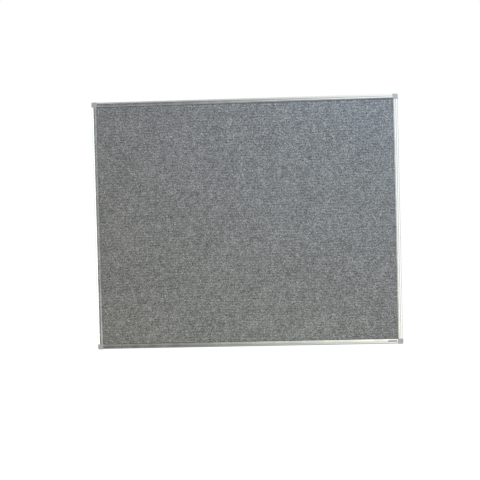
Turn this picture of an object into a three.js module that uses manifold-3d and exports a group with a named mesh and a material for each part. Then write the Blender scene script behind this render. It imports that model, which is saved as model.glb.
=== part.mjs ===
// A wall-hung display board: a felt-faced softboard panel held in four aluminium rails.
// The rails are square cut and join on moulded corner blocks, which also take the wall screws.
// A push-on cap covers each corner. Millimetres, +Z up, the felt faces -Y.
// The origin is at the middle of the width and depth, on the level of the lowest edge.

import * as THREE from "three";
import { mergeVertices } from "three/addons/utils/BufferGeometryUtils.js";
import Module from "manifold-3d";

const wasm = await Module();
wasm.setup();

// Driving dimensions
const overallWidth = 1500;
const overallHeight = 1220;
const overallDepth = 24;

// Clearance between faces that touch on the real board
const gap = 0.3;

// Corner caps: how far they stand out past the rails, and their own sizes
const capSideProud = 1;
const capFaceProud = 1.5;
const capSize = 25;
const capWall = 1.5;
const capOuterRadius = 6;
const capInnerRadius = 3;
const capRailRadius = 1.2;
const capBevel = 0.7;
const capWallStep = 0.05;
const skirtAboveFelt = 0.5;
const pegRadius = 1.5;
const pegLength = 8;
const pegPlace = 13;

// Rail section: "in" runs from the outer face towards the felt, "back" runs away from the viewer.
// A broad rounded shoulder, a fine groove, a flat, then a lip that slopes down to the felt.
const railWall = 1.3;
const shoulderWidth = 9;
const shoulderDrop = 3;
const flatFaceWidth = 17;
const faceWidth = 22;
const lipDrop = 4.5;
const lipNose = 1.3;
const lipRootBack = 1.6;
const grooveIn = 10;
const grooveWidth = 1.2;
const grooveDepth = 0.5;
const rearFlangeReach = 20;

// Panel: felt on softboard, closed by a hardboard sheet
const feltThickness = 2;
const coreThickness = 9;
const backSheetThickness = 3;

// Corner blocks
const spigotLength = 30;
const spigotSideWall = 2;
const spigotWeb = 5;
const spigotRoot = 1;
const blockEdgeRadius = 0.5;
const rearPlateThickness = 1.3;
const wallHolePlace = 7;
const wallHoleRadius = 3.2;
const counterboreRadius = 4.7;
const wallHoleSeat = 7;

// Rail screws: countersunk self-tapping screws, driven from the rear
const screwFromRailEnd = 12;
const screwIn = 8;
const screwShankRadius = 1.45;
const screwHeadRadius = 2.8;
const screwLength = 8;
const screwSunk = 0.05;
const screwPointLength = 2;
const recessWidth = 0.7;
const recessSpan = 3.4;
const recessDepth = 1.1;

// Badge: a plain blank plate near the right end of the bottom rail
const badgeWidth = 44;
const badgeHeight = 5;
const badgeThickness = 0.7;
const badgeRadius = 1.2;
const badgeFromRailEnd = 5;
const badgeIn = 13.8;

// How finely curves are divided, and how far a cutter passes the face it opens
const outlineSegments = 6;
const sectionSegments = 10;
const turnedSegments = 16;
const boreSegments = 24;
const pegSegments = 12;
const bevelSegments = 3;
const overshoot = 1;

// Places worked out from the driving dimensions
const rear = overallDepth / 2;
const front = -overallDepth / 2;
const railFront = front + capFaceProud;
const railDepth = rear - railFront;
const railHalfWidth = overallWidth / 2 - capSideProud;
const railHalfHeight = overallHeight / 2 - capSideProud;
const capReach = capSize - capSideProud;
const railEnd = capReach + gap;
const panelInset = flatFaceWidth + 2 * gap;
const feltFront = railFront + lipDrop + lipNose + gap;
const coreFront = feltFront + feltThickness + gap;
const backSheetFront = coreFront + coreThickness + gap;

const sides = ["bottom", "left", "top", "right"];
const corners = ["bottom_left", "top_left", "top_right", "bottom_right"];

const anodised = { color: 0xc3c6c8, roughness: 0.38, metalness: 0.9 };
const capGrey = { color: 0xada9a5, roughness: 0.55, metalness: 0 };
const blockGrey = { color: 0x6e7073, roughness: 0.6, metalness: 0 };
const feltGrey = { color: 0x797877, roughness: 0.97, metalness: 0 };
const coreTan = { color: 0xb89b72, roughness: 0.9, metalness: 0 };
const backBrown = { color: 0x6b4a30, roughness: 0.75, metalness: 0 };
const zinc = { color: 0xb4b7bb, roughness: 0.35, metalness: 1 };
const badgeGrey = { color: 0x898886, roughness: 0.45, metalness: 0.6 };

// Places are rounded to a micrometre, so that surfaces meant to lie on each other do.
function toSolid(geometry) {
  const bare = geometry.clone();
  bare.deleteAttribute("normal");
  bare.deleteAttribute("uv");
  const merged = mergeVertices(bare, 1e-4);
  const places = merged.attributes.position.array;
  const vertProperties = Float32Array.from(places, (value) => Math.round(value * 1000) / 1000);
  const triVerts = new Uint32Array(merged.index.array);
  return new wasm.Manifold(new wasm.Mesh({ numProp: 3, vertProperties, triVerts }));
}

function toGeometry(solid) {
  const mesh = solid.getMesh();
  const geometry = new THREE.BufferGeometry();
  geometry.setAttribute("position", new THREE.BufferAttribute(new Float32Array(mesh.vertProperties), 3));
  geometry.setIndex(new THREE.BufferAttribute(new Uint32Array(mesh.triVerts), 1));
  geometry.computeVertexNormals();
  return geometry;
}

// The additions are joined to the base, then the cutters are taken away.
function combine(base, additions, cutters) {
  let solid = toSolid(base);
  for (const addition of additions) {
    solid = solid.add(toSolid(addition));
  }
  for (const cutter of cutters) {
    solid = solid.subtract(toSolid(cutter));
  }
  return toGeometry(solid);
}

function namedMesh(name, geometry, finish) {
  const mesh = new THREE.Mesh(geometry, new THREE.MeshStandardMaterial(finish));
  mesh.name = name;
  return mesh;
}

// A rectangle from (low, low) to (high, high) whose corners each have their own radius,
// starting at the low corner and going round by way of (high, low).
function roundedSquare(low, high, [lowRadius, sideRadius, highRadius, otherSideRadius]) {
  const shape = new THREE.Shape();
  shape.moveTo(low + lowRadius, low);
  shape.lineTo(high - sideRadius, low);
  shape.absarc(high - sideRadius, low + sideRadius, sideRadius, -Math.PI / 2, 0);
  shape.lineTo(high, high - highRadius);
  shape.absarc(high - highRadius, high - highRadius, highRadius, 0, Math.PI / 2);
  shape.lineTo(low + otherSideRadius, high);
  shape.absarc(low + otherSideRadius, high - otherSideRadius, otherSideRadius, Math.PI / 2, Math.PI);
  shape.lineTo(low, low + lowRadius);
  shape.absarc(low + lowRadius, low + lowRadius, lowRadius, Math.PI, 1.5 * Math.PI);
  return shape;
}

// A flat outline in X and Z, made solid between two depths.
function plate(shape, frontDepth, backDepth) {
  const geometry = new THREE.ExtrudeGeometry(shape, {
    depth: backDepth - frontDepth,
    bevelEnabled: false,
    curveSegments: outlineSegments,
  });
  geometry.rotateX(Math.PI / 2);
  geometry.translate(0, backDepth, 0);
  return geometry;
}

function box(lowX, highX, lowY, highY, lowZ, highZ) {
  const geometry = new THREE.BoxGeometry(highX - lowX, highY - lowY, highZ - lowZ);
  geometry.translate((lowX + highX) / 2, (lowY + highY) / 2, (lowZ + highZ) / 2);
  return geometry;
}

function roundBar(radius, x, z, frontDepth, backDepth, segments) {
  const geometry = new THREE.CylinderGeometry(radius, radius, backDepth - frontDepth, segments);
  geometry.translate(x, (frontDepth + backDepth) / 2, z);
  return geometry;
}

function extrusion(section, length) {
  return new THREE.ExtrudeGeometry(section, {
    depth: length,
    bevelEnabled: false,
    curveSegments: sectionSegments,
  });
}

// A section drawn in (in, back) and run along X; "in" becomes +Z and "back" becomes +Y.
function runAlongX(section, lowX, highX) {
  const geometry = extrusion(section, highX - lowX);
  const inward = new THREE.Vector3(0, 0, 1);
  const backward = new THREE.Vector3(0, 1, 0);
  const along = new THREE.Vector3(-1, 0, 0);
  geometry.applyMatrix4(new THREE.Matrix4().makeBasis(inward, backward, along));
  geometry.translate(highX, railFront, 0);
  return geometry;
}

// The same section run along Z; "in" becomes +X and "back" becomes +Y.
function runAlongZ(section, lowZ, highZ) {
  const geometry = extrusion(section, highZ - lowZ);
  geometry.translate(0, railFront, lowZ);
  return geometry;
}

function railSection() {
  const shape = new THREE.Shape();
  shape.moveTo(0, railDepth);
  shape.lineTo(0, shoulderDrop);
  shape.absellipse(shoulderWidth, shoulderDrop, shoulderWidth, shoulderDrop, Math.PI, 1.5 * Math.PI);
  shape.lineTo(grooveIn - grooveWidth / 2, 0);
  shape.lineTo(grooveIn - grooveWidth / 4, grooveDepth);
  shape.lineTo(grooveIn + grooveWidth / 4, grooveDepth);
  shape.lineTo(grooveIn + grooveWidth / 2, 0);
  shape.lineTo(flatFaceWidth, 0);
  shape.lineTo(faceWidth, lipDrop);
  shape.lineTo(faceWidth, lipDrop + lipNose);
  shape.lineTo(faceWidth - railWall / 2, lipDrop + lipNose);
  shape.lineTo(flatFaceWidth, lipRootBack);
  shape.lineTo(flatFaceWidth, railDepth - railWall);
  shape.lineTo(rearFlangeReach, railDepth - railWall);
  shape.lineTo(rearFlangeReach, railDepth);
  shape.closePath();
  shape.holes.push(chamberOutline());
  return shape;
}

function chamberOutline() {
  const chamber = new THREE.Path();
  const across = shoulderWidth - railWall;
  const drop = shoulderDrop - railWall;
  chamber.moveTo(railWall, railDepth - railWall);
  chamber.lineTo(railWall, shoulderDrop);
  chamber.absellipse(shoulderWidth, shoulderDrop, across, drop, Math.PI, 1.5 * Math.PI);
  chamber.lineTo(flatFaceWidth - railWall, railWall);
  chamber.lineTo(flatFaceWidth - railWall, railDepth - railWall);
  chamber.closePath();
  return chamber;
}

// A lathe profile turned about the Y axis, moved to a place on the rear face.
function turned(points, x, z) {
  const profile = points.map(([radius, depth]) => new THREE.Vector2(radius, depth));
  const geometry = new THREE.LatheGeometry(profile, turnedSegments);
  geometry.translate(x, 0, z);
  return geometry;
}

// The cutter keeps its clearance square to the screw's cone and shank.
function screwHoleCutter(x, z) {
  const coneClearance = gap * Math.SQRT2;
  const holeRadius = screwShankRadius + gap;
  const mouthRadius = screwHeadRadius + coneClearance;
  const coneEnd = rear - (mouthRadius - holeRadius);
  const points = [
    [0, rear - screwLength - overshoot],
    [holeRadius, rear - screwLength - overshoot],
    [holeRadius, coneEnd],
    [mouthRadius, rear],
    [mouthRadius, rear + overshoot],
    [0, rear + overshoot],
  ];
  return turned(points, x, z);
}

function railGeometry(length, edgeDistance) {
  const rail = runAlongX(railSection(), -length / 2, length / 2);
  rail.translate(0, 0, -edgeDistance);
  const holeX = length / 2 - screwFromRailEnd;
  const cutters = [-holeX, holeX].map((x) => screwHoleCutter(x, screwIn - edgeDistance));
  return combine(rail, [], cutters);
}

function railScrewGeometry(x, z) {
  const headFace = rear - screwSunk;
  const coneEnd = headFace - (screwHeadRadius - screwShankRadius);
  const tip = headFace - screwLength;
  const points = [
    [0, tip],
    [screwShankRadius, tip + screwPointLength],
    [screwShankRadius, coneEnd],
    [screwHeadRadius, headFace],
    [0, headFace],
  ];
  const halfSpan = recessSpan / 2;
  const halfWidth = recessWidth / 2;
  const recessFloor = headFace - recessDepth;
  const slotAcross = box(x - halfSpan, x + halfSpan, recessFloor, rear, z - halfWidth, z + halfWidth);
  const slotUp = box(x - halfWidth, x + halfWidth, recessFloor, rear, z - halfSpan, z + halfSpan);
  return combine(turned(points, x, z), [], [slotAcross, slotUp]);
}

// A channel open to the front; its rear web takes the rail screw. Its outer wall stops short of
// the rail's rounded shoulder.
function spigotSection() {
  const low = railWall + gap;
  const high = flatFaceWidth - railWall - gap;
  const outerWallFront = shoulderDrop + gap;
  const innerWallFront = railWall + gap;
  const webFront = railDepth - railWall - gap - spigotWeb;
  const webBack = railDepth - railWall - gap;
  const shape = new THREE.Shape();
  shape.moveTo(low, outerWallFront);
  shape.lineTo(low + spigotSideWall, outerWallFront);
  shape.lineTo(low + spigotSideWall, webFront);
  shape.lineTo(high - spigotSideWall, webFront);
  shape.lineTo(high - spigotSideWall, innerWallFront);
  shape.lineTo(high, innerWallFront);
  shape.lineTo(high, webBack);
  shape.lineTo(low, webBack);
  shape.closePath();
  return shape;
}

// Corner pieces are drawn at the bottom left: X runs in along one rail and Z along the other,
// both from the corner of the rails' outline.
function cornerBlockGeometry() {
  const bodyLow = capWall - capSideProud + gap;
  const bodyRadius = capOuterRadius - capWall - gap;
  const bodyFront = railFront + gap;
  const otherRadii = [blockEdgeRadius, blockEdgeRadius, blockEdgeRadius];
  const body = plate(roundedSquare(bodyLow, flatFaceWidth, [bodyRadius, ...otherRadii]), bodyFront, rear);
  const plateShape = roundedSquare(0, capReach, [capOuterRadius - capSideProud, ...otherRadii]);
  const rearPlate = plate(plateShape, rear - rearPlateThickness, rear);
  const spigotStart = flatFaceWidth - spigotRoot;
  const spigotEnd = railEnd + spigotLength;
  const spigotX = runAlongX(spigotSection(), spigotStart, spigotEnd);
  const spigotZ = runAlongZ(spigotSection(), spigotStart, spigotEnd);
  const bore = (radius, place, floor, segments) =>
    roundBar(radius, place, place, bodyFront - overshoot, floor, segments);
  const wallHole = bore(wallHoleRadius, wallHolePlace, rear + overshoot, boreSegments);
  const counterbore = bore(counterboreRadius, wallHolePlace, rear - wallHoleSeat, boreSegments);
  const pegHole = bore(pegRadius + gap, pegPlace, railFront + pegLength + gap, pegSegments);
  const screwAlong = railEnd + screwFromRailEnd;
  const screwHoles = [screwHoleCutter(screwAlong, screwIn), screwHoleCutter(screwIn, screwAlong)];
  return combine(body, [rearPlate, spigotX, spigotZ], [wallHole, counterbore, pegHole, ...screwHoles]);
}

// The cap is a bevelled face plate with walls on its two outer sides, a short skirt round its
// inner corner down to the felt, and a locating peg.
function cornerCapGeometry() {
  const outline = roundedSquare(-capSideProud + capBevel, capReach - capBevel, [
    capOuterRadius - capBevel,
    capRailRadius,
    capInnerRadius - capBevel,
    capRailRadius,
  ]);
  const facePlate = new THREE.ExtrudeGeometry(outline, {
    depth: capFaceProud - capBevel,
    bevelThickness: capBevel,
    bevelSize: capBevel,
    bevelSegments,
    curveSegments: outlineSegments,
  });
  facePlate.rotateX(Math.PI / 2);
  facePlate.translate(0, railFront, 0);
  const rearBevel = box(-capSize, 2 * capSize, railFront, rear, -capSize, 2 * capSize);
  const face = toGeometry(toSolid(facePlate).subtract(toSolid(rearBevel)));

  // The walls and the skirt stand a fine step in from the edge of the face plate.
  const wallFront = front + capBevel + capWallStep;
  const wallBack = rear - rearPlateThickness - gap;
  const wallOuter = capWallStep - capSideProud;
  const wallInner = capWall - capSideProud;
  const wallEnd = capReach - capWallStep;
  const arcCentre = capOuterRadius - capSideProud;
  const walls = new THREE.Shape();
  walls.moveTo(arcCentre, wallOuter);
  walls.lineTo(wallEnd, wallOuter);
  walls.lineTo(wallEnd, wallInner);
  walls.lineTo(arcCentre, wallInner);
  walls.absarc(arcCentre, arcCentre, arcCentre - wallInner, 1.5 * Math.PI, Math.PI, true);
  walls.lineTo(wallInner, wallEnd);
  walls.lineTo(wallOuter, wallEnd);
  walls.lineTo(wallOuter, arcCentre);
  walls.absarc(arcCentre, arcCentre, arcCentre - wallOuter, Math.PI, 1.5 * Math.PI);

  const skirtStart = flatFaceWidth + gap;
  const skirtInner = capReach - capWall;
  const skirtArcCentre = capReach - capInnerRadius;
  const skirt = new THREE.Shape();
  skirt.moveTo(wallEnd, skirtStart);
  skirt.lineTo(wallEnd, skirtArcCentre);
  skirt.absarc(skirtArcCentre, skirtArcCentre, wallEnd - skirtArcCentre, 0, Math.PI / 2);
  skirt.lineTo(skirtStart, wallEnd);
  skirt.lineTo(skirtStart, skirtInner);
  skirt.lineTo(skirtInner, skirtInner);
  skirt.lineTo(skirtInner, skirtStart);
  skirt.closePath();

  const additions = [
    plate(walls, wallFront, wallBack),
    plate(skirt, wallFront, feltFront - skirtAboveFelt),
    roundBar(pegRadius, pegPlace, pegPlace, wallFront, railFront + pegLength, pegSegments),
  ];
  return combine(face, additions, []);
}

function panelSheet(name, sheetFront, thickness, finish) {
  const halfWidth = railHalfWidth - panelInset;
  const halfHeight = railHalfHeight - panelInset;
  const sheet = box(-halfWidth, halfWidth, sheetFront, sheetFront + thickness, -halfHeight, halfHeight);
  return namedMesh(name, sheet, finish);
}

function badge() {
  const shape = new THREE.Shape();
  const halfWidth = badgeWidth / 2;
  const halfHeight = badgeHeight / 2;
  shape.moveTo(badgeRadius - halfWidth, -halfHeight);
  shape.lineTo(halfWidth - badgeRadius, -halfHeight);
  shape.absarc(halfWidth - badgeRadius, badgeRadius - halfHeight, badgeRadius, -Math.PI / 2, 0);
  shape.absarc(halfWidth - badgeRadius, halfHeight - badgeRadius, badgeRadius, 0, Math.PI / 2);
  shape.absarc(badgeRadius - halfWidth, halfHeight - badgeRadius, badgeRadius, Math.PI / 2, Math.PI);
  shape.absarc(badgeRadius - halfWidth, badgeRadius - halfHeight, badgeRadius, Math.PI, 1.5 * Math.PI);
  const back = railFront - gap;
  const mesh = namedMesh("badge", plate(shape, back - badgeThickness, back), badgeGrey);
  mesh.position.x = railHalfWidth - railEnd - badgeFromRailEnd - halfWidth;
  mesh.position.z = badgeIn - railHalfHeight;
  return mesh;
}

const board = new THREE.Group();
board.position.z = overallHeight / 2;

board.add(panelSheet("felt_face", feltFront, feltThickness, feltGrey));
board.add(panelSheet("core_board", coreFront, coreThickness, coreTan));
board.add(panelSheet("back_sheet", backSheetFront, backSheetThickness, backBrown));
board.add(badge());

// Each side is drawn as the bottom rail and turned into place.
sides.forEach((side, turns) => {
  const upright = turns % 2 === 1;
  const halfLength = (upright ? railHalfHeight : railHalfWidth) - railEnd;
  const edgeDistance = upright ? railHalfWidth : railHalfHeight;
  const screwX = halfLength - screwFromRailEnd;
  const sideGroup = new THREE.Group();
  sideGroup.rotation.y = (turns * Math.PI) / 2;
  sideGroup.add(namedMesh(`rail_${side}`, railGeometry(2 * halfLength, edgeDistance), anodised));
  [-screwX, screwX].forEach((x, index) => {
    const screw = railScrewGeometry(x, screwIn - edgeDistance);
    sideGroup.add(namedMesh(`rail_screw_${side}_${index + 1}`, screw, zinc));
  });
  board.add(sideGroup);
});

corners.forEach((corner, turns) => {
  const cornerGroup = new THREE.Group();
  cornerGroup.rotation.y = (turns * Math.PI) / 2;
  cornerGroup.position.x = corner.endsWith("left") ? -railHalfWidth : railHalfWidth;
  cornerGroup.position.z = corner.startsWith("bottom") ? -railHalfHeight : railHalfHeight;
  cornerGroup.add(namedMesh(`corner_block_${corner}`, cornerBlockGeometry(), blockGrey));
  cornerGroup.add(namedMesh(`corner_cap_${corner}`, cornerCapGeometry(), capGrey));
  board.add(cornerGroup);
});

export default board;
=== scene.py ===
import math

import bmesh
import bpy
import numpy as np
from mathutils import Matrix, Vector


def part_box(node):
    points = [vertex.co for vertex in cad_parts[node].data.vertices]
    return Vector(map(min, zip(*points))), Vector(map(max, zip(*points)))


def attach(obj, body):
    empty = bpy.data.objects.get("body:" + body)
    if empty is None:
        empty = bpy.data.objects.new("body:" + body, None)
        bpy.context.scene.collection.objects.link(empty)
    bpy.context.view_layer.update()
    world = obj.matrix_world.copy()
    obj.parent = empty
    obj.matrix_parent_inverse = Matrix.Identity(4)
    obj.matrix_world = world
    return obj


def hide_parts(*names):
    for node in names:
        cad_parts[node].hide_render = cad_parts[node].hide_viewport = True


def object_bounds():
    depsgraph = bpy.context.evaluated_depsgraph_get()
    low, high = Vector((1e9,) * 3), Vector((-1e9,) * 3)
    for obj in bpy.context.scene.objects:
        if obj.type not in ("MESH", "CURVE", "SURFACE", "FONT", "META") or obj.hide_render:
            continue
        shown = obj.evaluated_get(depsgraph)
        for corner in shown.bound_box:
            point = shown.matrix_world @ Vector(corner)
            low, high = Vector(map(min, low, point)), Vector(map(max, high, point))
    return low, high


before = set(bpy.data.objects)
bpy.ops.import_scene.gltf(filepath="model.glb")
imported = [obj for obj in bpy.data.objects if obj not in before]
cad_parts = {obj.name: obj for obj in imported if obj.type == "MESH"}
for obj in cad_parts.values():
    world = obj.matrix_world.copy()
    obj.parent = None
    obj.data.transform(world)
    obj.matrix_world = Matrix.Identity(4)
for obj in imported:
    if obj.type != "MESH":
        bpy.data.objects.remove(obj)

cad_low, cad_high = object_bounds()

# A felt display board in an aluminium frame, hung clear of a pale floor. Metres, felt towards -Y.

MM = 0.001

# Camera, as the photograph shows the board: nearly square on, rolled a little
CAMERA_PLACE = Vector((0.0212, -2.3637, 0.7415))
CAMERA_YAW = math.radians(1.241)
CAMERA_PITCH = math.radians(-0.484)
CAMERA_ROLL = math.radians(-1.46)
CAMERA_LENS_MM = 36.0
CAMERA_SENSOR_MM = 36.0
CAMERA_SHIFT_UP = -0.0833

# Rail section, measured in from the outer face and back from the front face
RAIL_WALL = 1.3 * MM
RAIL_SHOULDER = 9 * MM
RAIL_SHOULDER_DROP = 3 * MM
RAIL_FLAT = 17 * MM
RAIL_FACE = 22 * MM
RAIL_LIP_DROP = 4.5 * MM
RAIL_LIP_NOSE = 1.3 * MM
RAIL_LIP_ROOT_BACK = 1.6 * MM
RAIL_GROOVE_IN = 10 * MM
RAIL_GROOVE_WIDTH = 1.2 * MM
RAIL_GROOVE_DEPTH = 0.5 * MM
RAIL_FLANGE = 20 * MM
RAIL_SOFT_RADIUS = 0.35 * MM

# How far the polish of handling reaches on the rail's outer edge, its ridge and the nose of its lip
WORN_OUTER_WIDTH = 0.8 * MM
WORN_RIDGE_WIDTH = 0.5 * MM
WORN_RIDGE_DEPTH = 0.6 * MM
WORN_NOSE_WIDTH = 0.4 * MM
WORN_NOSE_DEPTH = 0.5 * MM

# Corner caps, from the corner of the rails' outline. The face rings are insets, as shares of half the
# cap's width. Join is how far the peg starts inside the face plate, and trim is how far the rough parts
# stand out before the outer form cuts them.
CAP_SIDE_PROUD = 1 * MM
CAP_WALL = 1.5 * MM
CAP_OUTER_RADIUS = 6 * MM
CAP_INNER_RADIUS = 3 * MM
CAP_RAIL_RADIUS = 1.2 * MM
CAP_LEAST_RADIUS = 0.3 * MM
CAP_ARC_STEPS = 10
CAP_FILLET = 0.9 * MM
CAP_CROWN = 0.35 * MM
CAP_SCALLOP = 0.55 * MM
CAP_SCALLOP_REACH = 10 * MM
CAP_FACE_RINGS = (0.92, 0.8, 0.65, 0.5, 0.38, 0.26, 0.16)
CAP_FILLET_STEPS = 6
CAP_PEG_RADIUS = 1.5 * MM
CAP_PEG_PLACE = 13 * MM
CAP_PEG_LENGTH = 8 * MM
CAP_PEG_SIDES = 24
CAP_SKIRT_GAP = 0.3 * MM
CAP_FELT_GAP = 0.5 * MM
CAP_JOIN = 0.5 * MM
CAP_TRIM = 3 * MM
CAP_RIM_SHARE = 0.93
CAP_RIM_DEPTH = 1.6 * MM

# Rail screws
SCREW_SHANK = 1.45 * MM
SCREW_HEAD = 2.8 * MM
SCREW_POINT = 2 * MM
SCREW_CLEARANCE = 0.3 * MM
RECESS_SPAN = 3.4 * MM
RECESS_WIDTH = 0.75 * MM
RECESS_DEPTH = 1.1 * MM

# Felt, and the line of painted shade where it meets the lips of the rails
RIB_PITCH = 13.5 * MM
RIB_HEIGHT = 0.22 * MM
RIB_FADE = 8 * MM
FELT_SLACK = 0.10 * MM
FELT_SETBACK = 0.12 * MM
FELT_COLUMNS = 160
FELT_ROWS = 560
LIP_SHADE_DARKNESS = 0.75
LIP_SHADE_START = 0.5 * MM
LIP_SHADE_WIDTH = 4.5 * MM

# Badge
BADGE_CORNER = 1.2 * MM
BADGE_RIM = 0.65 * MM

# Corner blocks and the sheet behind, softened from their CAD nodes
BLOCK_SOFT_EDGE = 0.25 * MM
SHEET_SOFT_EDGE = 0.4 * MM
WELD_DISTANCE = 0.001 * MM
FLAT_ANGLE = math.radians(0.5)
SOFTENED_ANGLE = math.radians(40)

# Edges sharper than this stay sharp
SHARP_ANGLE = math.radians(35)
FELT_SHARP_ANGLE = math.radians(50)

# A wave texture at a scale of 1 repeats after this length
WAVE_PERIOD = 0.314
SCREEN_PITCH = 1.6 * MM

# Floor and room
FLOOR_DROP = 0.9
FLOOR_RADIUS = 40.0
FLOOR_FADE_START = 2.0
FLOOR_FADE_END = 9.0
ROOM_IN_FRONT = (0.634, 0.502, 0.425, 1)
ROOM_BEHIND = (0.51, 0.51, 0.51, 1)

# Lights: place, the point it faces, width, watts, colour
WINDOW = ((1.3, -1.9, 2.5), (0.3, 0, 0.8), 1.4, 83, (0.43, 0.70, 1.0))
FLOOR_BOUNCE = ((0.0, -1.6, -0.7), (0.0, 0, 0.2), 1.6, 13.5, (0.69, 1.0, 0.72))


# ---------------------------------------------------------------- camera, light and floor


def make_camera():
    yaw = Matrix.Rotation(CAMERA_YAW, 4, "Z")
    pitch = Matrix.Rotation(CAMERA_PITCH, 4, "X")
    level = Matrix.Rotation(math.radians(90), 4, "X")
    roll = Matrix.Rotation(CAMERA_ROLL, 4, "Z")
    data = bpy.data.cameras.new("photo_camera")
    data.sensor_width = CAMERA_SENSOR_MM
    data.lens = CAMERA_LENS_MM
    data.shift_y = CAMERA_SHIFT_UP
    camera = bpy.data.objects.new("photo_camera", data)
    camera.matrix_world = Matrix.Translation(CAMERA_PLACE) @ yaw @ pitch @ level @ roll
    bpy.context.scene.collection.objects.link(camera)
    bpy.context.scene.camera = camera


def socket_value(tree, socket, value):
    """Puts a number, colour or another node's output on a socket."""
    if isinstance(value, bpy.types.NodeSocket):
        tree.links.new(value, socket)
    else:
        socket.default_value = value


def maths(tree, operation, *values, clamp=False):
    node = tree.nodes.new("ShaderNodeMath")
    node.operation = operation
    node.use_clamp = clamp
    for socket, value in zip(node.inputs, values):
        socket_value(tree, socket, value)
    return node.outputs[0]


def smooth_step(tree, value, low, high, out_low=0.0, out_high=1.0):
    node = tree.nodes.new("ShaderNodeMapRange")
    node.interpolation_type = "SMOOTHSTEP"
    socket_value(tree, node.inputs["Value"], value)
    node.inputs["From Min"].default_value = low
    node.inputs["From Max"].default_value = high
    node.inputs["To Min"].default_value = out_low
    node.inputs["To Max"].default_value = out_high
    return node.outputs["Result"]


def mix_colours(tree, factor, first, second, blend="MIX"):
    node = tree.nodes.new("ShaderNodeMix")
    node.data_type = "RGBA"
    node.blend_type = blend
    socket_value(tree, node.inputs[0], factor)
    socket_value(tree, node.inputs[6], first)
    socket_value(tree, node.inputs[7], second)
    return node.outputs[2]


def grey(level):
    return (level, level, level)


def world_direction(tree):
    """How far a direction points to +X (right), +Y (towards the wall) and +Z (up), each -1 to 1."""
    split = tree.nodes.new("ShaderNodeSeparateXYZ")
    tree.links.new(tree.nodes.new("ShaderNodeTexCoord").outputs["Generated"], split.inputs[0])
    return split.outputs


def room_light(tree):
    """What lights the dull surfaces: a warm room in front of the board, neutral beside and behind it."""
    _, to_wall, _ = world_direction(tree)
    behind = smooth_step(tree, to_wall, -0.40, 0.0)
    return mix_colours(tree, behind, ROOM_IN_FRONT, ROOM_BEHIND)


def room_reflection(tree):
    """What the metal reflects: white walls in front with a dark doorway left of the middle, dim far
    ends, a light wall behind, a bright band of ceiling and a dark floor, each height with its tint."""
    right, to_wall, up = world_direction(tree)
    across = maths(tree, "MULTIPLY_ADD", right, 0.5, 0.5)
    levels = [
        (0.06, 0.55),
        (0.10, 1.95),
        (0.285, 1.95),
        (0.315, 0.14),
        (0.42, 0.22),
        (0.51, 0.58),
        (0.62, 1.20),
        (0.88, 1.60),
        (0.95, 0.25),
    ]
    front = ramp(tree, across, [(place, grey(level)) for place, level in levels])
    behind = smooth_step(tree, to_wall, -0.15, 0.25)
    room = mix_colours(tree, behind, front, (*grey(0.85), 1))
    ceiling_start = smooth_step(tree, up, 0.25, 0.60, 0.0, 0.5)
    ceiling_end = smooth_step(tree, up, 0.92, 0.75)
    ceiling = maths(tree, "MULTIPLY", ceiling_start, ceiling_end)
    room = mix_colours(tree, ceiling, room, (*grey(1.25), 1))
    steep_down = smooth_step(tree, up, -0.55, -0.80)
    room = mix_colours(tree, steep_down, room, (*grey(0.34), 1))
    warm = (1.03, 1.03, 0.92)
    cool = (0.95, 1.00, 1.05)
    height = maths(tree, "MULTIPLY_ADD", up, 0.5, 0.5)
    tint = ramp(tree, height, [(0.10, cool), (0.25, warm), (0.70, cool), (0.90, warm)])
    return mix_colours(tree, 1.0, room, tint, "MULTIPLY")


def make_world():
    """White to the camera, a soft light on the dull surfaces, and a room for the metal to reflect."""
    world = bpy.data.worlds.new("soft_studio")
    bpy.context.scene.world = world
    world.use_nodes = True
    tree = world.node_tree
    tree.nodes.clear()
    ray = tree.nodes.new("ShaderNodeLightPath")
    light = mix_colours(tree, ray.outputs["Is Glossy Ray"], room_light(tree), room_reflection(tree))
    light = mix_colours(tree, ray.outputs["Is Camera Ray"], light, (1, 1, 1, 1))
    background = tree.nodes.new("ShaderNodeBackground")
    tree.links.new(light, background.inputs["Color"])
    output = tree.nodes.new("ShaderNodeOutputWorld")
    tree.links.new(background.outputs[0], output.inputs["Surface"])


def area_light(name, place, target, size, watts, colour):
    data = bpy.data.lights.new(name, "AREA")
    data.shape = "DISK"
    data.size = size
    data.energy = watts
    data.color = colour
    light = bpy.data.objects.new(name, data)
    light.visible_glossy = False
    light.location = place
    light.rotation_euler = (Vector(target) - Vector(place)).to_track_quat("-Z", "Y").to_euler()
    bpy.context.scene.collection.objects.link(light)


def floor_material():
    """Pale near the board, fading to the white of the background far away."""
    material = bpy.data.materials.new("pale_floor")
    material.use_nodes = True
    tree = material.node_tree
    shader = tree.nodes["Principled BSDF"]
    shader.inputs["Base Color"].default_value = (0.35, 0.37, 0.39, 1)
    shader.inputs["Roughness"].default_value = 0.9
    shader.inputs["Emission Color"].default_value = (1, 1, 1, 1)
    shader.inputs["Emission Strength"].default_value = 0.80
    place = tree.nodes.new("ShaderNodeTexCoord").outputs["Object"]
    distance = tree.nodes.new("ShaderNodeVectorMath")
    distance.operation = "LENGTH"
    tree.links.new(place, distance.inputs[0])
    far = smooth_step(tree, distance.outputs["Value"], FLOOR_FADE_START, FLOOR_FADE_END)
    white = tree.nodes.new("ShaderNodeEmission")
    blend = tree.nodes.new("ShaderNodeMixShader")
    tree.links.new(far, blend.inputs[0])
    tree.links.new(shader.outputs[0], blend.inputs[1])
    tree.links.new(white.outputs[0], blend.inputs[2])
    tree.links.new(blend.outputs[0], tree.nodes["Material Output"].inputs["Surface"])
    return material


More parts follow.
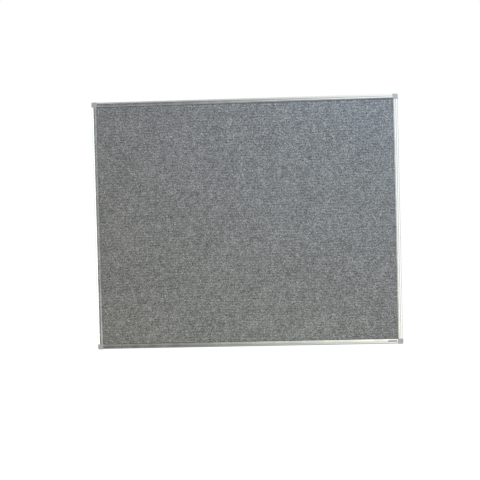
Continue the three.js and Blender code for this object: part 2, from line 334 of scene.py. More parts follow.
def make_floor():
    bm = bmesh.new()
    bmesh.ops.create_circle(bm, cap_ends=True, segments=96, radius=FLOOR_RADIUS)
    floor = new_object("floor", bm, floor_material())
    floor.location.z = cad_low.z - FLOOR_DROP
    floor.visible_glossy = False
    floor.visible_diffuse = False


# ---------------------------------------------------------------- mesh helpers


def new_object(name, bm, material=None):
    bmesh.ops.recalc_face_normals(bm, faces=bm.faces)
    mesh = bpy.data.meshes.new(name)
    bm.to_mesh(mesh)
    bm.free()
    return object_from_mesh(name, mesh, material)


def object_from_mesh(name, mesh, material=None):
    piece = bpy.data.objects.new(name, mesh)
    if material is not None:
        piece.data.materials.append(material)
    bpy.context.scene.collection.objects.link(piece)
    return piece


def smooth_piece(piece):
    """Smooth shading that keeps flats flat and sharp corners sharp."""
    piece.data.shade_smooth()
    piece.data.set_sharp_from_angle(angle=SHARP_ANGLE)
    weighted = piece.modifiers.new("flat_faces_stay_flat", "WEIGHTED_NORMAL")
    weighted.keep_sharp = True


def settle(piece, body, node):
    """Smooths a finished piece, puts it on the body it rides on, and hides the CAD node it stands for."""
    smooth_piece(piece)
    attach(piece, body)
    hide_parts(node)


def boolean(piece, cutter, operation):
    """Applies one boolean with another object, which is then removed."""
    modifier = piece.modifiers.new(operation.lower(), "BOOLEAN")
    modifier.operation = operation
    modifier.solver = "EXACT"
    modifier.object = cutter
    graph = bpy.context.evaluated_depsgraph_get()
    mesh = bpy.data.meshes.new_from_object(piece.evaluated_get(graph))
    piece.modifiers.clear()
    old = piece.data
    piece.data = mesh
    bpy.data.meshes.remove(old)
    bpy.data.objects.remove(cutter)


def arc_points(centre, radius, start, end, steps):
    """Points on a circle arc, both ends included. Angles are in degrees."""
    angles = np.radians(np.linspace(start, end, steps + 1))
    return [(centre[0] + radius * math.cos(a), centre[1] + radius * math.sin(a)) for a in angles]


def rounded_square(low, high, radii, steps):
    """A square's outline, each corner with its own radius: low-low, high-low, high-high, low-high."""
    first, second, third, fourth = radii
    points = arc_points((low + first, low + first), first, 180, 270, steps)
    points += arc_points((high - second, low + second), second, 270, 360, steps)
    points += arc_points((high - third, high - third), third, 0, 90, steps)
    points += arc_points((low + fourth, high - fourth), fourth, 90, 180, steps)
    return points


def filleted(corners, steps):
    """A closed outline from (point, radius) pairs, each corner rounded with its radius."""
    points = []
    count = len(corners)
    for index, (corner, radius) in enumerate(corners):
        here = Vector(corner)
        if radius <= 0:
            points.append(tuple(here))
            continue
        before = (Vector(corners[index - 1][0]) - here).normalized()
        after = (Vector(corners[(index + 1) % count][0]) - here).normalized()
        half_angle = before.angle(after) / 2
        reach = radius / math.tan(half_angle)
        start = here + before * reach
        end = here + after * reach
        centre = here + (before + after).normalized() * (radius / math.sin(half_angle))
        first = start - centre
        last = end - centre
        for step in range(steps + 1):
            share = step / steps
            spoke = first.lerp(last, share).normalized() * radius
            points.append(tuple(centre + spoke))
    return points


def loft(bm, rings, close_first=True, close_last=True):
    """Joins equal rings of points with quads, and closes the ends with one face each."""
    loops = [[bm.verts.new(point) for point in ring] for ring in rings]
    count = len(loops[0])
    for near, far in zip(loops, loops[1:]):
        for i in range(count):
            j = (i + 1) % count
            bm.faces.new((near[i], near[j], far[j], far[i]))
    if close_first:
        bm.faces.new(list(reversed(loops[0])))
    if close_last:
        bm.faces.new(loops[-1])
    return loops


def prism(name, outline, front, back, place):
    """A flat outline made solid between two depths; place turns (across, up, depth) into a point."""
    bm = bmesh.new()
    loft(bm, [[place(a, b, depth) for a, b in outline] for depth in (front, back)])
    return new_object(name, bm)


def turned(name, profile, centre, segments):
    """A (radius, depth) profile turned about the Y axis through centre; its ends lie on the axis."""
    bm = bmesh.new()
    rings = []
    for radius, depth in profile[1:-1]:
        spokes = [2 * math.pi * k / segments for k in range(segments)]
        rings.append([
            (centre.x + radius * math.cos(s), depth, centre.z + radius * math.sin(s)) for s in spokes
        ])
    loops = loft(bm, rings, close_first=False, close_last=False)
    for (_, depth), loop in ((profile[0], loops[0]), (profile[-1], loops[-1])):
        tip = bm.verts.new((centre.x, depth, centre.z))
        for i in range(segments):
            j = (i + 1) % segments
            pair = (loop[j], loop[i]) if loop is loops[0] else (loop[i], loop[j])
            bm.faces.new((*pair, tip))
    return new_object(name, bm)


# ---------------------------------------------------------------- material helpers


def new_material(name, roughness, metallic=0.0):
    material = bpy.data.materials.new(name)
    material.use_nodes = True
    shader = material.node_tree.nodes["Principled BSDF"]
    shader.inputs["Metallic"].default_value = metallic
    shader.inputs["Roughness"].default_value = roughness
    return material, material.node_tree, shader


def stretched_place(tree, scales):
    """Position on the object, multiplied along each axis, so a noise's grain can run one way."""
    mapping = tree.nodes.new("ShaderNodeMapping")
    mapping.inputs["Scale"].default_value = scales
    tree.links.new(tree.nodes.new("ShaderNodeTexCoord").outputs["Object"], mapping.inputs["Vector"])
    return mapping.outputs[0]


def noise(tree, grain_m, stretch=(1, 1, 1), detail=3.0, roughness=0.5):
    """Noise whose lumps are about grain_m across, made longer along the axes that stretch names."""
    node = tree.nodes.new("ShaderNodeTexNoise")
    tree.links.new(stretched_place(tree, [1 / (grain_m * s) for s in stretch]), node.inputs["Vector"])
    node.inputs["Scale"].default_value = 1.0
    node.inputs["Detail"].default_value = detail
    node.inputs["Roughness"].default_value = roughness
    return node.outputs[0]


def attribute(tree, name):
    node = tree.nodes.new("ShaderNodeAttribute")
    node.attribute_name = name
    return node.outputs["Fac"]


def ramp(tree, factor, stops):
    node = tree.nodes.new("ShaderNodeValToRGB")
    elements = node.color_ramp.elements
    while len(elements) < len(stops):
        elements.new(0.5)
    for element, (position, colour) in zip(elements, stops):
        element.position = position
        element.color = (*colour, 1)
    tree.links.new(factor, node.inputs[0])
    return node.outputs[0]


def bump(tree, height, distance, strength=1.0, under=None):
    node = tree.nodes.new("ShaderNodeBump")
    node.inputs["Strength"].default_value = strength
    node.inputs["Distance"].default_value = distance
    tree.links.new(height, node.inputs["Height"])
    if under is not None:
        tree.links.new(under, node.inputs["Normal"])
    return node.outputs[0]


def weighted_sum(tree, parts):
    """Adds (output, weight) pairs, each taken about its middle value of a half."""
    total = 0.0
    for output, weight in parts:
        centred = maths(tree, "SUBTRACT", output, 0.5)
        total = maths(tree, "ADD", maths(tree, "MULTIPLY", centred, weight), total)
    return total


# ---------------------------------------------------------------- materials


def felt_material():
    """Heathered grey needle felt: light and dark fibres in clumps, ribs, and painted shade along the
    frame.
    """
    material, tree, shader = new_material("grey_felt", 0.95)
    clumps = noise(tree, 5.8 * MM, (1.1, 1, 1), detail=3, roughness=0.6)
    tufts = noise(tree, 1.9 * MM, (1.3, 1, 1), detail=2, roughness=0.6)
    streaks = noise(tree, 6.5 * MM, (3, 1, 1), detail=2)
    patches = noise(tree, 30 * MM, (1, 1, 1.3), detail=3, roughness=0.5)
    clouds = noise(tree, 170 * MM, (1, 1, 1.3), detail=2)
    fibres = noise(tree, 0.5 * MM, (4, 1, 1), detail=3, roughness=0.7)
    cross_fibres = noise(tree, 0.5 * MM, (1, 1, 4), detail=3, roughness=0.7)
    tone = weighted_sum(tree, [
        (clumps, 1.7),
        (tufts, 0.9),
        (fibres, 1.1),
        (cross_fibres, 1.1),
        (streaks, 0.4),
        (patches, 0.3),
        (clouds, 0.15),
        # Painted shade: the ridge attribute darkens the valleys between the ribs.
        (attribute(tree, "ridge"), 0.12),
    ])
    tone = maths(tree, "ADD", tone, 0.5, clamp=True)
    colour = ramp(tree, tone, [
        (0.0, (0.033, 0.032, 0.031)),
        (0.3, (0.112, 0.108, 0.103)),
        (0.5, (0.176, 0.170, 0.163)),
        (0.7, (0.262, 0.254, 0.244)),
        (1.0, (0.455, 0.443, 0.425)),
    ])
    # Painted shade: the rim attribute darkens the felt along the lips of the rails.
    colour = mix_colours(tree, attribute(tree, "rim"), colour, (0.06, 0.058, 0.056, 1))
    tree.links.new(colour, shader.inputs["Base Color"])
    coarse = bump(tree, clumps, 0.9 * MM, 0.55)
    tangle = maths(tree, "ADD", fibres, cross_fibres)
    tree.links.new(bump(tree, tangle, 0.35 * MM, 0.7, coarse), shader.inputs["Normal"])
    shader.inputs["Sheen Weight"].default_value = 0.25
    shader.inputs["Sheen Roughness"].default_value = 0.6
    shader.inputs["Specular IOR Level"].default_value = 0.15
    return material


def along_run(run, stretch):
    """A noise's stretch along one axis, so that its streaks follow the extrusion."""
    return [stretch if axis == run else 1.0 for axis in range(3)]


def aluminium_material(name, run):
    """Satin anodised extrusion: die lines along its run, faint streaks, polished edges, a groove darkened
    by dust and painted shade.
    """
    material, tree, shader = new_material(name, 0.24, metallic=1.0)
    lines = noise(tree, 0.22 * MM, along_run(run, 400.0), detail=2, roughness=0.6)
    streaks = noise(tree, 2.5 * MM, along_run(run, 220.0), detail=3)
    handling = noise(tree, 45 * MM, detail=5, roughness=0.6)
    body = ramp(tree, streaks, [(0.3, (0.715, 0.725, 0.735)), (0.7, (0.790, 0.795, 0.800))])
    worn = maths(tree, "MULTIPLY", attribute(tree, "edge"), smooth_step(tree, handling, 0.42, 0.62))
    colour = mix_colours(tree, worn, body, (0.90, 0.90, 0.89, 1))
    # Darkens the groove: partly dust, partly painted shade between the groove's walls.
    colour = mix_colours(tree, attribute(tree, "groove"), colour, (0.15, 0.15, 0.15, 1))
    tree.links.new(colour, shader.inputs["Base Color"])
    dull = smooth_step(tree, handling, 0.3, 0.75, 0.15, 0.25)
    fine = maths(tree, "MULTIPLY", maths(tree, "SUBTRACT", lines, 0.5), 0.12)
    roughness = maths(tree, "ADD", dull, fine)
    roughness = maths(tree, "SUBTRACT", roughness, maths(tree, "MULTIPLY", worn, 0.06))
    tree.links.new(roughness, shader.inputs["Roughness"])
    tree.links.new(bump(tree, lines, 0.02 * MM, 0.5), shader.inputs["Normal"])
    return material


def cap_material():
    """Mid-grey moulded plastic with a fine spark-eroded texture, rubbed smoother on its edges."""
    material, tree, shader = new_material("cap_plastic", 0.5)
    texture = noise(tree, 0.28 * MM, detail=2)
    flow = noise(tree, 9 * MM, detail=4, roughness=0.6)
    body = ramp(tree, flow, [(0.3, (0.372, 0.355, 0.336)), (0.7, (0.430, 0.411, 0.390))])
    rubbed = attribute(tree, "edge")
    colour = mix_colours(tree, maths(tree, "MULTIPLY", rubbed, 0.5), body, (0.53, 0.52, 0.50, 1))
    tree.links.new(colour, shader.inputs["Base Color"])
    grain = smooth_step(tree, texture, 0.3, 0.7, 0.44, 0.62)
    roughness = maths(tree, "SUBTRACT", grain, maths(tree, "MULTIPLY", rubbed, 0.12))
    tree.links.new(roughness, shader.inputs["Roughness"])
    tree.links.new(bump(tree, texture, 0.05 * MM, 0.5), shader.inputs["Normal"])
    shader.inputs["Specular IOR Level"].default_value = 0.3
    return material


def block_material():
    """Darker glass-filled nylon, slightly mottled."""
    material, tree, shader = new_material("block_nylon", 0.55)
    flecks = noise(tree, 0.5 * MM, (1, 1, 3), detail=3, roughness=0.7)
    flow = noise(tree, 12 * MM, detail=3)
    tone = weighted_sum(tree, [(flecks, 0.6), (flow, 0.9)])
    tone = maths(tree, "ADD", tone, 0.5, clamp=True)
    colour = ramp(tree, tone, [(0.25, (0.125, 0.128, 0.132)), (0.75, (0.195, 0.200, 0.205))])
    tree.links.new(colour, shader.inputs["Base Color"])
    tree.links.new(smooth_step(tree, flecks, 0.3, 0.7, 0.46, 0.66), shader.inputs["Roughness"])
    tree.links.new(bump(tree, flecks, 0.04 * MM, 0.6), shader.inputs["Normal"])
    return material


def hardboard_material():
    """Brown hardboard seen on its screened side: a fine wire-mesh print over pressed fibres."""
    material, tree, shader = new_material("hardboard", 0.72)
    blotches = noise(tree, 70 * MM, (1.6, 1, 1), detail=6, roughness=0.7)
    fibres = noise(tree, 1.1 * MM, (2.5, 1, 1), detail=4, roughness=0.7)
    tone = weighted_sum(tree, [(blotches, 0.6), (fibres, 0.9)])
    tone = maths(tree, "ADD", tone, 0.5, clamp=True)
    colour = ramp(tree, tone, [
        (0.15, (0.095, 0.050, 0.027)),
        (0.5, (0.165, 0.092, 0.050)),
        (0.85, (0.255, 0.155, 0.090)),
    ])
    wires = []
    for axis in ("X", "Z"):
        wave = tree.nodes.new("ShaderNodeTexWave")
        wave.bands_direction = axis
        wave.wave_profile = "SIN"
        tree.links.new(stretched_place(tree, (1, 1, 1)), wave.inputs["Vector"])
        wave.inputs["Scale"].default_value = WAVE_PERIOD / SCREEN_PITCH
        wave.inputs["Distortion"].default_value = 0.4
        wires.append(wave.outputs["Fac"])
    mesh_print = maths(tree, "MAXIMUM", *wires)
    printed = smooth_step(tree, mesh_print, 0.75, 1.0, 0.0, 0.28)
    colour = mix_colours(tree, printed, colour, (0.07, 0.038, 0.02, 1))
    tree.links.new(colour, shader.inputs["Base Color"])
    tree.links.new(smooth_step(tree, fibres, 0.3, 0.7, 0.62, 0.85), shader.inputs["Roughness"])
    raised = maths(tree, "ADD", maths(tree, "MULTIPLY", mesh_print, -0.7), fibres)
    tree.links.new(bump(tree, raised, 0.15 * MM, 0.8), shader.inputs["Normal"])
    return material


def softboard_material():
    """Tan insulation board: loose wood fibre with darker bits."""
    material, tree, shader = new_material("softboard", 0.95)
    fibres = noise(tree, 1.4 * MM, (2.2, 1, 1), detail=5, roughness=0.75)
    bits = noise(tree, 3.5 * MM, detail=3, roughness=0.7)
    colour = ramp(tree, fibres, [(0.3, (0.36, 0.25, 0.145)), (0.7, (0.56, 0.43, 0.27))])
    dark_bits = smooth_step(tree, bits, 0.6, 0.68, 0.0, 0.7)
    colour = mix_colours(tree, dark_bits, colour, (0.17, 0.10, 0.055, 1))
    tree.links.new(colour, shader.inputs["Base Color"])
    tree.links.new(smooth_step(tree, bits, 0.3, 0.7, 0.86, 1.0), shader.inputs["Roughness"])
    tree.links.new(bump(tree, fibres, 0.5 * MM, 0.9), shader.inputs["Normal"])
    return material


def zinc_material():
    """Bright zinc plating with cloudy patches and turning marks."""
    material, tree, shader = new_material("zinc_plate", 0.3, metallic=1.0)
    clouds = noise(tree, 1.5 * MM, detail=4, roughness=0.6)
    marks = noise(tree, 0.12 * MM, (6, 1, 1), detail=2)
    colour = ramp(tree, clouds, [(0.3, (0.56, 0.57, 0.60)), (0.7, (0.72, 0.73, 0.74))])
    tree.links.new(colour, shader.inputs["Base Color"])
    tree.links.new(smooth_step(tree, clouds, 0.3, 0.7, 0.24, 0.42), shader.inputs["Roughness"])
    tree.links.new(bump(tree, marks, 0.02 * MM, 0.5), shader.inputs["Normal"])
    return material


def badge_material():
    """Grey anodised plate, brushed along its length, with a bright cut edge."""
    material, tree, shader = new_material("badge_plate", 0.4, metallic=1.0)
    brushed = noise(tree, 0.15 * MM, (60, 1, 1), detail=3)
    body = ramp(tree, brushed, [(0.3, (0.215, 0.213, 0.205)), (0.7, (0.285, 0.282, 0.272))])
    colour = mix_colours(tree, attribute(tree, "edge"), body, (0.50, 0.495, 0.47, 1))
    tree.links.new(colour, shader.inputs["Base Color"])
    tree.links.new(smooth_step(tree, brushed, 0.3, 0.7, 0.34, 0.50), shader.inputs["Roughness"])
    tree.links.new(bump(tree, brushed, 0.015 * MM, 0.5), shader.inputs["Normal"])
    return material


# ---------------------------------------------------------------- felt


def felt_ridge(across, up):
    """How high the rib stands at a point, from 0 in a valley to 1; the ribs wander a little."""
    wander = 1.6 * MM * np.sin(across * 5.7 + 0.4) + 0.9 * MM * np.sin(across * 17.0 + 1.1 + 3.0 * up)
    return np.abs(np.cos(np.pi * (up + wander) / RIB_PITCH)) ** 0.8


def grid_faces(columns, rows):
    """The quads of a grid whose points run row by row."""
    row, column = np.meshgrid(np.arange(rows), np.arange(columns), indexing="ij")
    start = (row * (columns + 1) + column).ravel()
    return np.stack([start, start + 1, start + columns + 2, start + columns + 1], 1).tolist()


def grid_border(columns, rows):
    """The points round a grid's outside: along the first row, up, back along the last row, down."""
    across = columns + 1
    border = list(range(columns))
    border += [r * across + columns for r in range(rows)]
    border += [rows * across + columns - i for i in range(columns)]
    border += [(rows - r) * across for r in range(rows)]
    return border


def make_felt(material):
    """A closed sheet: a ribbed front, flat under the lips of the rails, and a flat back."""
    low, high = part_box("felt_face")
    across = np.linspace(low.x, high.x, FELT_COLUMNS + 1)
    up = np.linspace(low.z, high.z, FELT_ROWS + 1)
    grid_x, grid_z = np.meshgrid(across, up)
    ridge = felt_ridge(grid_x, grid_z)
    inset = np.minimum.reduce([grid_x - low.x, high.x - grid_x, grid_z - low.z, high.z - grid_z])
    hidden = RAIL_FACE - RAIL_FLAT
    opened = np.clip((inset - hidden) / RIB_FADE, 0, 1)
    slack = FELT_SLACK * np.sin(grid_x * 6.1 + 1.0) * np.sin(grid_z * 4.7 + 0.5)
    front = low.y + FELT_SETBACK - opened * (RIB_HEIGHT * ridge + slack)
    points = np.stack([grid_x.ravel(), front.ravel(), grid_z.ravel()], 1)
    back = points.copy()
    back[:, 1] = high.y

    border = grid_border(FELT_COLUMNS, FELT_ROWS)
    behind = {index: len(points) + k for k, index in enumerate(border)}
    faces = grid_faces(FELT_COLUMNS, FELT_ROWS)
    faces += [[a, behind[a], behind[b], b] for a, b in zip(border, border[1:] + border[:1])]
    faces.append([behind[i] for i in reversed(border)])
    vertices = np.concatenate([points, back[border]])

    mesh = bpy.data.meshes.new("felt_sheet")
    mesh.from_pydata(vertices.tolist(), [], faces)
    zeros = np.zeros(len(border))
    # Painted shade along the lips of the rails: darkest under them, fading out a few millimetres onto the
    # open felt.
    painted_lip_shade = LIP_SHADE_DARKNESS * np.clip(1 - (inset - hidden + LIP_SHADE_START) / LIP_SHADE_WIDTH, 0, 1)
    # The ridge values also paint shade into the rib valleys, in the felt material.
    add_attribute(mesh, "ridge", np.concatenate([ridge.ravel(), zeros]))
    add_attribute(mesh, "rim", np.concatenate([painted_lip_shade.ravel(), zeros]))
    mesh.shade_smooth()
    felt = object_from_mesh("felt_sheet", mesh, material)
    mesh.set_sharp_from_angle(angle=FELT_SHARP_ANGLE)
    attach(felt, "board")
    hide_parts("felt_face")


def add_attribute(mesh, name, values):
    layer = mesh.attributes.new(name, "FLOAT", "POINT")
    layer.data.foreach_set("value", np.asarray(values, np.float32))


# ---------------------------------------------------------------- rails and their screws


def ellipse_quarter(centre, across, drop, steps):
    """A shoulder's curve, from the outer face to the front face: a quarter of an ellipse."""
    return [
        (centre[0] - across * math.cos(a), centre[1] - drop * math.sin(a))
        for a in np.linspace(0, math.pi / 2, steps + 1)
    ]


def rail_outline(depth):
    """The outer line of the rail section as (in, back) points, each edge with its own small radius."""
    soft = RAIL_SOFT_RADIUS
    left = RAIL_GROOVE_IN - RAIL_GROOVE_WIDTH / 2
    right = RAIL_GROOVE_IN + RAIL_GROOVE_WIDTH / 2
    quarter = RAIL_GROOVE_WIDTH / 4
    lip_end = RAIL_LIP_DROP + RAIL_LIP_NOSE
    centre = (RAIL_SHOULDER, RAIL_SHOULDER_DROP)
    shoulder = ellipse_quarter(centre, RAIL_SHOULDER, RAIL_SHOULDER_DROP, 28)
    corners = [((0, depth), soft)]
    corners += [(point, 0) for point in shoulder]
    corners += [
        ((left, 0), 0.12 * MM),
        ((left + quarter, RAIL_GROOVE_DEPTH), 0.1 * MM),
        ((right - quarter, RAIL_GROOVE_DEPTH), 0.1 * MM),
        ((right, 0), 0.12 * MM),
        ((RAIL_FLAT, 0), 0.8 * MM),
        ((RAIL_FACE, RAIL_LIP_DROP), soft),
        ((RAIL_FACE, lip_end), 0.25 * MM),
        ((RAIL_FACE - RAIL_WALL / 2, lip_end), 0.2 * MM),
        ((RAIL_FLAT, RAIL_LIP_ROOT_BACK), 0.3 * MM),
        ((RAIL_FLAT, depth - RAIL_WALL), 0.2 * MM),
        ((RAIL_FLANGE, depth - RAIL_WALL), 0.25 * MM),
        ((RAIL_FLANGE, depth), soft),
    ]
    return filleted(corners, 6)


def chamber_outline(depth):
    """The hollow inside the rail, a wall's thickness in from its outer line."""
    inner = RAIL_FLAT - RAIL_WALL
    back = depth - RAIL_WALL
    across = RAIL_SHOULDER - RAIL_WALL
    drop = RAIL_SHOULDER_DROP - RAIL_WALL
    shoulder = ellipse_quarter((RAIL_SHOULDER, RAIL_SHOULDER_DROP), across, drop, 14)
    corners = [((RAIL_WALL, back), 0.3 * MM)]
    corners += [(point, 0) for point in shoulder]
    corners += [((inner, RAIL_WALL), 0.3 * MM), ((inner, back), 0.3 * MM)]
    return filleted(corners, 3)


def rail_frame(side):
    """The rail's box, its run axis, the axis across it, and the way in from its outer face."""
    low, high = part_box("rail_" + side)
    run = 0 if side in ("top", "bottom") else 2
    across = 2 - run
    inward = 1 if side in ("bottom", "left") else -1
    outer = low[across] if inward > 0 else high[across]
    return low, high, run, across, inward, outer


def make_rail(side, material):
    """The hollow section along its run, its two ends closed round the chamber, with two countersinks."""
    low, high, run, across, inward, outer = rail_frame(side)
    depth = high.y - low.y
    bm = bmesh.new()
    end_loops = {0: [], 1: []}
    for outline in (rail_outline(depth), chamber_outline(depth)):
        rings = []
        for end in (low[run], high[run]):
            ring = []
            for inner, back in outline:
                point = [0.0, low.y + back, 0.0]
                point[run] = end
                point[across] = outer + inward * inner
                ring.append(point)
            rings.append(ring)
        loops = loft(bm, rings, close_first=False, close_last=False)
        for end in (0, 1):
            end_loops[end].append(loops[end])
    for end in (0, 1):
        edges = []
        for loop in end_loops[end]:
            edges += [bm.edges.get((loop[i], loop[i - 1])) for i in range(len(loop))]
        bmesh.ops.triangle_fill(bm, edges=edges, use_beauty=True)
    piece = new_object("rail_" + side + "_extrusion", bm, material)
    for number in (1, 2):
        countersink = screw_countersink("rail_screw_" + side + "_" + str(number), high.y)
        boolean(piece, countersink, "DIFFERENCE")
    mark(piece.data, "edge", worn_rail_edge(low, across, inward, outer))
    mark(piece.data, "groove", groove_dust_and_shade(low, across, inward, outer))
    settle(piece, "board", "rail_" + side)


def worn_rail_edge(low, across, inward, outer):
    """1 on the outer front edge, on the ridge where the lip starts to slope, and on the lip's nose."""

    def value(point):
        inner = inward * (point[across] - outer)
        back = point.y - low.y
        on_outer_edge = inner < WORN_OUTER_WIDTH and back < RAIL_SHOULDER_DROP
        on_ridge = abs(inner - RAIL_FLAT) < WORN_RIDGE_WIDTH and back < WORN_RIDGE_DEPTH
        on_nose = inner > RAIL_FACE - WORN_NOSE_WIDTH and back < RAIL_LIP_DROP + WORN_NOSE_DEPTH
        return 1.0 if on_outer_edge or on_ridge or on_nose else 0.0

    return value


def groove_dust_and_shade(low, across, inward, outer):
    """1 inside the fine groove, where dust and polish settle and where shade is painted."""

    def value(point):
        in_groove = abs(inward * (point[across] - outer) - RAIL_GROOVE_IN) < RAIL_GROOVE_WIDTH / 2
        below_face = 0.05 * MM < point.y - low.y < RAIL_WALL
        return 1.0 if in_groove and below_face else 0.0

    return value


def mark(mesh, name, value):
    """Stores what value says of each point, for the material to read."""
    add_attribute(mesh, name, [value(vertex.co) for vertex in mesh.vertices])


def screw_centre(node):
    """The middle of a screw, and the depths of its tip and of the face of its head."""
    low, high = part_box(node)
    return (low + high) / 2, low.y, high.y


def screw_countersink(node, face):
    """The hole a rail needs for its screw: the screw's own cone and shank, let out all round."""
    centre, tip, _ = screw_centre(node)
    shank = SCREW_SHANK + SCREW_CLEARANCE
    mouth = SCREW_HEAD + SCREW_CLEARANCE * math.sqrt(2)
    beyond = face + MM
    profile = [
        (0, tip),
        (shank, tip),
        (shank, face - (mouth - shank)),
        (mouth, face),
        (mouth, beyond),
        (0, beyond),
    ]
    return turned("countersink", profile, centre, 32)


def make_screw(node, material):
    """A countersunk head with a chamfered rim and a cross recess, and a plain shank to a blunt point."""
    centre, tip, head = screw_centre(node)
    cone = SCREW_HEAD - SCREW_SHANK
    profile = [
        (0, tip),
        (0.25 * MM, tip + 0.1 * MM),
        (SCREW_SHANK * 0.98, tip + SCREW_POINT),
        (SCREW_SHANK, tip + SCREW_POINT + 0.3 * MM),
        (SCREW_SHANK, head - cone - 0.1 * MM),
        (SCREW_SHANK + 0.05 * MM, head - cone),
        (SCREW_HEAD - 0.05 * MM, head - 0.15 * MM),
        (SCREW_HEAD - 0.05 * MM, head - 0.06 * MM),
        (SCREW_HEAD - 0.15 * MM, head),
        (0, head),
    ]
    screw = turned(node + "_zinc", profile, centre, 40)
    for turn in (0, 90):
        boolean(screw, recess_wing(centre, head, turn), "DIFFERENCE")
    screw.data.materials.append(material)
    settle(screw, "board", node)


def recess_wing(centre, head, turn):
    """One wing of the cross recess, narrower at its floor."""
    spin = Matrix.Rotation(math.radians(turn), 3, "Y")
    bm = bmesh.new()
    rings = []
    for share, depth in ((0.45, head - RECESS_DEPTH), (1.0, head), (1.0, head + MM)):
        a = share * RECESS_SPAN / 2
        b = (0.6 + 0.4 * share) * RECESS_WIDTH / 2
        corners = ((-a, -b), (a, -b), (a, b), (-a, b))
        middle = Vector((centre.x, depth, centre.z))
        rings.append([middle + spin @ Vector((x, 0, z)) for x, z in corners])
    loft(bm, rings)
    return new_object("recess_wing", bm)


# ---------------------------------------------------------------- corners


def corner_place(corner):
    """Turns (along one rail, along the other, depth) from the outline's corner into a point."""
    low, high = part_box("corner_block_" + corner)
    left = corner.endswith("left")
    bottom = corner.startswith("bottom")
    x = low.x if left else high.x
    z = low.z if bottom else high.z
    right_way = 1 if left else -1
    up_way = 1 if bottom else -1
    return lambda a, b, depth: Vector((x + right_way * a, depth, z + up_way * b))


def cap_envelope(place, low, reach, front, back):
    """The cap's outer form: a crowned face with a thumb scallop at its inner corner, and a fillet."""
    radii = [CAP_OUTER_RADIUS, CAP_RAIL_RADIUS, CAP_INNER_RADIUS, CAP_RAIL_RADIUS]
    half = (reach - low) / 2
    rings = []

    def ring(inset, drop):
        softened = [max(radius - inset, CAP_LEAST_RADIUS) for radius in radii]
        points = rounded_square(low + inset, reach - inset, softened, CAP_ARC_STEPS)
        return [place(a, b, front + drop + face_drop(a, b, inset)) for a, b in points]

    def face_drop(a, b, inset):
        crown = CAP_CROWN * max(0.0, 1 - inset / half) ** 2
        away = math.hypot(reach - a, reach - b) / CAP_SCALLOP_REACH
        scallop = CAP_SCALLOP * max(0.0, 1 - away * away)
        return crown + scallop

    for share in CAP_FACE_RINGS:
        rings.append(ring(half * share, 0.0))
    for step in range(CAP_FILLET_STEPS + 1):
        angle = math.radians(90 * step / CAP_FILLET_STEPS)
        rings.append(ring(CAP_FILLET * (1 - math.sin(angle)), CAP_FILLET * (1 - math.cos(angle))))
    outline = rounded_square(low, reach, radii, CAP_ARC_STEPS)
    rings.append([place(a, b, back) for a, b in outline])
    bm = bmesh.new()
    loft(bm, rings)
    return new_object("cap_envelope", bm)


def cap_wall_outline(low, inner, reach):
    """The two walls outside the rails, seen from the front; left large where the envelope trims them."""
    start = low - CAP_TRIM
    end = reach + CAP_TRIM
    middle = low + CAP_OUTER_RADIUS
    bend = arc_points((middle, middle), middle - inner, 180, 270, CAP_ARC_STEPS)
    return [(start, start), (end, start), (end, inner), *reversed(bend), (inner, end), (start, end)]


def cap_skirt_outline(reach):
    """The two short walls at the cap's inner corner, over the felt; left large for the same reason."""
    start = RAIL_FLAT + CAP_SKIRT_GAP
    inner = reach - CAP_WALL
    end = reach + CAP_TRIM
    return [(end, start), (end, end), (start, end), (start, inner), (inner, inner), (inner, start)]


def make_cap(corner, material):
    """A face plate, two outer walls, the skirt and the peg, joined and trimmed to the outer form."""
    node = "corner_cap_" + corner
    low_box, high_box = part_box(node)
    place = corner_place(corner)
    low = -CAP_SIDE_PROUD
    reach = (high_box.x - low_box.x) - CAP_SIDE_PROUD
    front = low_box.y
    rail_low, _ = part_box("rail_bottom")
    felt_low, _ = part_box("felt_face")
    plate_back = rail_low.y
    start = low - CAP_TRIM
    end = reach + CAP_TRIM
    square = [(start, start), (end, start), (end, end), (start, end)]
    cap = prism(node + "_moulding", square, front - CAP_TRIM, plate_back, place)
    walls = prism("walls", cap_wall_outline(low, low + CAP_WALL, reach), front, high_box.y, place)
    skirt = prism("skirt", cap_skirt_outline(reach), front, felt_low.y - CAP_FELT_GAP, place)
    last = 360 - 360 / CAP_PEG_SIDES
    peg_line = arc_points((CAP_PEG_PLACE, CAP_PEG_PLACE), CAP_PEG_RADIUS, 0, last, CAP_PEG_SIDES - 1)
    peg = prism("peg", peg_line, front + CAP_JOIN, plate_back + CAP_PEG_LENGTH, place)
    for part in (walls, skirt, peg):
        boolean(cap, part, "UNION")
    boolean(cap, cap_envelope(place, low, reach, front, high_box.y + MM), "INTERSECT")
    cap.data.materials.append(material)
    centre = place((low + reach) / 2, (low + reach) / 2, 0)
    half = (reach - low) / 2

    def on_rim(point):
        out = max(abs(point.x - centre.x), abs(point.z - centre.z)) / half
        return 1.0 if out > CAP_RIM_SHARE and point.y < front + CAP_RIM_DEPTH else 0.0

    mark(cap.data, "edge", on_rim)
    settle(cap, "cap_" + corner, node)


def refined_copy(node, name, material, edge_width):
    """A copy of a CAD node with its flats cleaned up and its edges softened."""
    bm = bmesh.new()
    bm.from_mesh(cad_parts[node].data)
    bmesh.ops.remove_doubles(bm, verts=bm.verts, dist=WELD_DISTANCE)
    bmesh.ops.dissolve_limit(bm, angle_limit=FLAT_ANGLE, verts=bm.verts, edges=bm.edges)
    piece = new_object(name, bm, material)
    bevel = piece.modifiers.new("soft_edges", "BEVEL")
    bevel.width = edge_width
    bevel.segments = 2
    bevel.limit_method = "ANGLE"
    bevel.angle_limit = SOFTENED_ANGLE
    return piece


def make_block(corner, material):
    node = "corner_block_" + corner
    block = refined_copy(node, node + "_moulding", material, BLOCK_SOFT_EDGE)
    settle(block, "board", node)


# ---------------------------------------------------------------- sheets behind the felt, and the badge


def make_back_sheet(material):
    back = refined_copy("back_sheet", "back_panel", material, SHEET_SOFT_EDGE)
    settle(back, "board", "back_sheet")


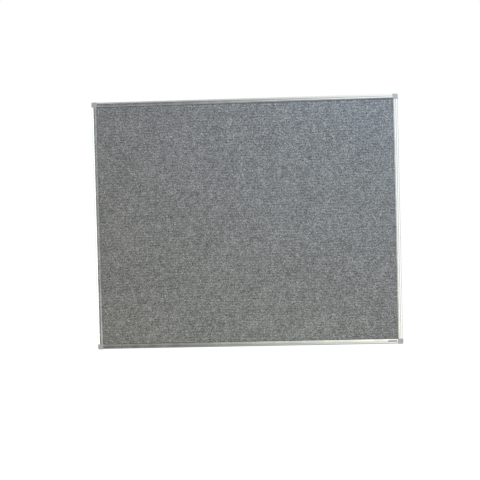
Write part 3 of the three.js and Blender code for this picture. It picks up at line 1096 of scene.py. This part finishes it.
def make_badge(material):
    """A blank rounded plate with a raised bright rim."""
    low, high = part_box("badge")
    centre = (low + high) / 2
    half_width = (high.x - low.x) / 2
    half_height = (high.z - low.z) / 2
    thickness = high.y - low.y
    sunk = 0.25 * thickness
    bm = bmesh.new()
    rings = []
    steps = (
        (1.1 * MM, sunk),
        (0.7 * MM, sunk),
        (0.6 * MM, 0.0),
        (0.25 * MM, 0.0),
        (0.07 * MM, 0.07 * MM),
        (0.0, 0.25 * MM),
        (0.0, thickness),
    )
    for inset, depth in steps:
        rings.append(badge_ring(centre, half_width - inset, half_height - inset, low.y + depth))
    loft(bm, rings)
    badge = new_object("blank_badge", bm, material)

    def on_rim(point):
        beside = abs(point.x - centre.x) > half_width - BADGE_RIM
        above_or_below = abs(point.z - centre.z) > half_height - BADGE_RIM
        return 1.0 if beside or above_or_below else 0.0

    mark(badge.data, "edge", on_rim)
    settle(badge, "board", "badge")


def badge_ring(centre, half_width, half_height, depth):
    """One rounded rectangle of the badge, as points at one depth."""
    radius = min(BADGE_CORNER, half_height)
    corners = [
        ((half_width - radius, half_height - radius), 0),
        ((radius - half_width, half_height - radius), 90),
        ((radius - half_width, radius - half_height), 180),
        ((half_width - radius, radius - half_height), 270),
    ]
    points = []
    for middle, start in corners:
        points += arc_points(middle, radius, start, start + 90, 8)
    return [Vector((centre.x + a, depth, centre.z + b)) for a, b in points]


# ---------------------------------------------------------------- the scene

bpy.context.scene.view_settings.view_transform = "Standard"
make_camera()
make_world()
make_floor()
area_light("window", *WINDOW)
area_light("floor_bounce", *FLOOR_BOUNCE)

make_felt(felt_material())
metal_across = aluminium_material("anodised_across", 0)
metal_upright = aluminium_material("anodised_upright", 2)
for side in ("top", "bottom"):
    make_rail(side, metal_across)
for side in ("left", "right"):
    make_rail(side, metal_upright)

zinc = zinc_material()
for side in ("bottom", "left", "top", "right"):
    for number in (1, 2):
        make_screw("rail_screw_" + side + "_" + str(number), zinc)

cap_plastic = cap_material()
block_plastic = block_material()
for corner in ("bottom_left", "top_left", "top_right", "bottom_right"):
    make_cap(corner, cap_plastic)
    make_block(corner, block_plastic)

make_back_sheet(hardboard_material())
make_badge(badge_material())
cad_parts["core_board"].data.materials[0] = softboard_material()
